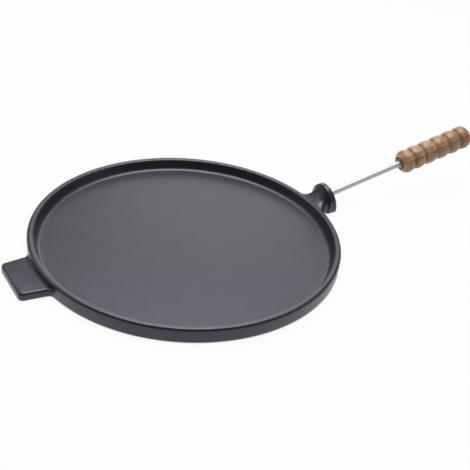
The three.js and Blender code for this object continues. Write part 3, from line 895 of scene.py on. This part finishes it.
nut_corner = NUT_WIDTH / 2 / math.cos(math.pi / NUT_SIDES)
nut_start = hollow_floor - BEHIND_NUT - NUT_HEIGHT
nut_end = nut_start + NUT_HEIGHT
blank_outline = [
    (0, nut_start),
    (nut_corner - NUT_CHAMFER, nut_start),
    (nut_corner, nut_start + NUT_CHAMFER / 2),
    (nut_corner, nut_end - NUT_CHAMFER / 2),
    (nut_corner - NUT_CHAMFER, nut_end),
    (0, nut_end),
]
nut, blank, hole = [
    turn_piece(name, outline, steps, nut_steel, HANDLE_PLACE, HANDLE_TURN)
    for name, outline, steps in (
        ("hex_nut", plug(nut_corner, nut_start, nut_end), NUT_SIDES),
        ("blank", blank_outline, BLANK_STEPS),
        ("hole", plug(HOLE_RADIUS, HOLE_START, HOLE_END), HOLE_STEPS),
    )
]
combine(nut, blank, "INTERSECT")
combine(nut, hole, "DIFFERENCE")

# %% [markdown]
# ## Pieces ride on bodies
#
# Each finished piece takes the place of its CAD node and moves with the body that carries it. The
# sleeve can't be seen from anywhere, so its CAD node stays, with the brass finish.

# %% Hand the pieces over
for piece, node, body, slot in (
    (dish, "pan", "pan", "cast_iron"),
    (rod, "handle_rod", "rod", "bright_rod"),
    (grip, "grip", "grip", "turned_wood"),
    (nut, "grip_nut", "grip", "grey_nut"),
):
    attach(piece, body)
    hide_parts(node)
    print(piece.name, "rides on", body)
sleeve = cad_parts["grip_sleeve"]
for slot in sleeve.material_slots:
    slot.material = brass

# %% [markdown]
# ## Floor and background
#
# Product pictures stand on a white sweep. The floor is pale and takes the pan's shadow. For rays that
# come straight from the camera, or by way of a mirror-like surface, part of its colour is plain white
# light, so the background stays clean while the shadow still shows. Under the pan's rounded bottom edge
# that share falls away, which leaves the thin dark line where the pan meets the floor.

# %% Lay the floor
FLOOR_COLOUR, WHITE = (0.7, 0.7, 0.7, 1), (1, 1, 1, 1)
FLOOR_GLOW = 0.94
CONTACT_GAP = 1.2 * MM
FLOOR_REACH = 6

corners = [(x * FLOOR_REACH, y * FLOOR_REACH, 0) for x, y in ((-1, -1), (1, -1), (1, 1), (-1, 1))]
floor_mesh = bpy.data.meshes.new("floor")
floor_mesh.from_pydata(corners, [], [(0, 1, 2, 3)])
floor = add_object("floor", floor_mesh)
paper = bpy.data.materials.new("white paper sweep")
paper.use_nodes = True
tree = paper.node_tree
tree.nodes.clear()
diffuse = add_node(tree, "ShaderNodeBsdfDiffuse", {"Color": FLOOR_COLOUR})
glow = add_node(tree, "ShaderNodeEmission", {"Color": WHITE, "Strength": 1.0})


def seen_directly(tree):
    """1 for camera, mirror and glass rays, 0 for the rays that carry soft light."""
    path = add_node(tree, "ShaderNodeLightPath").outputs
    mirrored = add_math(tree, "MAXIMUM", path["Is Glossy Ray"], path["Is Transmission Ray"])
    return add_math(tree, "MAXIMUM", path["Is Camera Ray"], mirrored)


openness = add_node(tree, "ShaderNodeAmbientOcclusion", {"Distance": CONTACT_GAP}, samples=8)
lit_floor = add_math(tree, "MULTIPLY", openness.outputs["AO"], FLOOR_GLOW)
share = add_math(tree, "MULTIPLY", seen_directly(tree), lit_floor)
surface = add_node(tree, "ShaderNodeMixShader", {0: share, 1: diffuse.outputs[0], 2: glow.outputs[0]})
add_node(tree, "ShaderNodeOutputMaterial", {"Surface": surface.outputs[0]})
floor_mesh.materials.append(paper)
print("floor is", 2 * FLOOR_REACH, "m across")

# %% [markdown]
# ## The room
#
# The studio is a dark room with a bright backdrop straight behind the pan. The iron mirrors it: the
# backdrop gives the soft shine on the floor of the dish, and the dark room in front keeps the walls
# dark. The camera itself sees plain white.

# %% Set the background
BACKDROP_LIGHT, ROOM_LIGHT = 0.93, 0.07
BACKDROP_EDGE, BACKDROP_FULL = 0.3, 0.72

world = bpy.data.worlds.new("studio")
bpy.context.scene.world = world
world.use_nodes = True
tree = world.node_tree
tree.nodes.clear()
direction = add_node(tree, "ShaderNodeTexCoord").outputs["Generated"]
behind = add_node(tree, "ShaderNodeVectorMath", {
    0: direction, 1: heading_ahead}, operation="DOT_PRODUCT").outputs["Value"]
beside = add_node(tree, "ShaderNodeVectorMath", {
    0: direction, 1: heading_side}, operation="DOT_PRODUCT").outputs["Value"]
on_backdrop = add_math(tree, "SUBTRACT", behind, add_math(tree, "ABSOLUTE", beside))
level = add_range(tree, on_backdrop, BACKDROP_EDGE, BACKDROP_FULL, ROOM_LIGHT, BACKDROP_LIGHT)
room = add_node(tree, "ShaderNodeBackground", {"Color": WHITE, "Strength": level})
white = add_node(tree, "ShaderNodeBackground", {"Color": WHITE, "Strength": 1.0})
direct = add_node(tree, "ShaderNodeLightPath").outputs["Is Camera Ray"]
either = add_node(tree, "ShaderNodeMixShader", {0: direct, 1: room.outputs[0], 2: white.outputs[0]})
add_node(tree, "ShaderNodeOutputWorld", {"Surface": either.outputs[0]})
print("backdrop is", round(BACKDROP_LIGHT / ROOM_LIGHT, 1), "times as bright as the room")

# %% [markdown]
# ## Lamps
#
# Dark iron shows its shape only by what shines on it, so the lamps are large soft panels. They are
# placed by the side of the picture that they stand on. Each row of the table gives a panel's angle from
# straight behind the pan, positive to the right, and its height angle, both in degrees, then its
# distance and size in metres and its power in watts.

# %% Place the lamps
LAMPS = {
    "overhead panel": (0, 74, 1.5, 1.1, 24),
    "back panel": (0, 16, 2.2, 0.9, 2.5),
    "left panel": (-82, 14, 1.6, 0.8, 0.5),
    "right panel": (95, 18, 1.6, 1.0, 0.9),
    "upper left panel": (-65, 42, 1.6, 0.8, 2.8),
    "upper right panel": (65, 45, 1.6, 0.8, 1),
}

for name, (turn, height, distance, size, power) in LAMPS.items():
    lamp_data = bpy.data.lights.new(name, "AREA")
    lamp_data.shape = "SQUARE"
    lamp_data.size = size
    lamp_data.energy = power
    lamp = bpy.data.objects.new(name, lamp_data)
    side = math.radians(turn)
    level = math.cos(math.radians(height))
    toward = level * (math.cos(side) * heading_ahead + math.sin(side) * heading_side)
    toward.z = math.sin(math.radians(height))
    lamp.location = toward * distance
    lamp.rotation_euler = toward.to_track_quat("Z", "Y").to_euler()
    bpy.context.scene.collection.objects.link(lamp)

bpy.context.scene.view_settings.view_transform = "Standard"
print("lamps:", ", ".join(LAMPS))
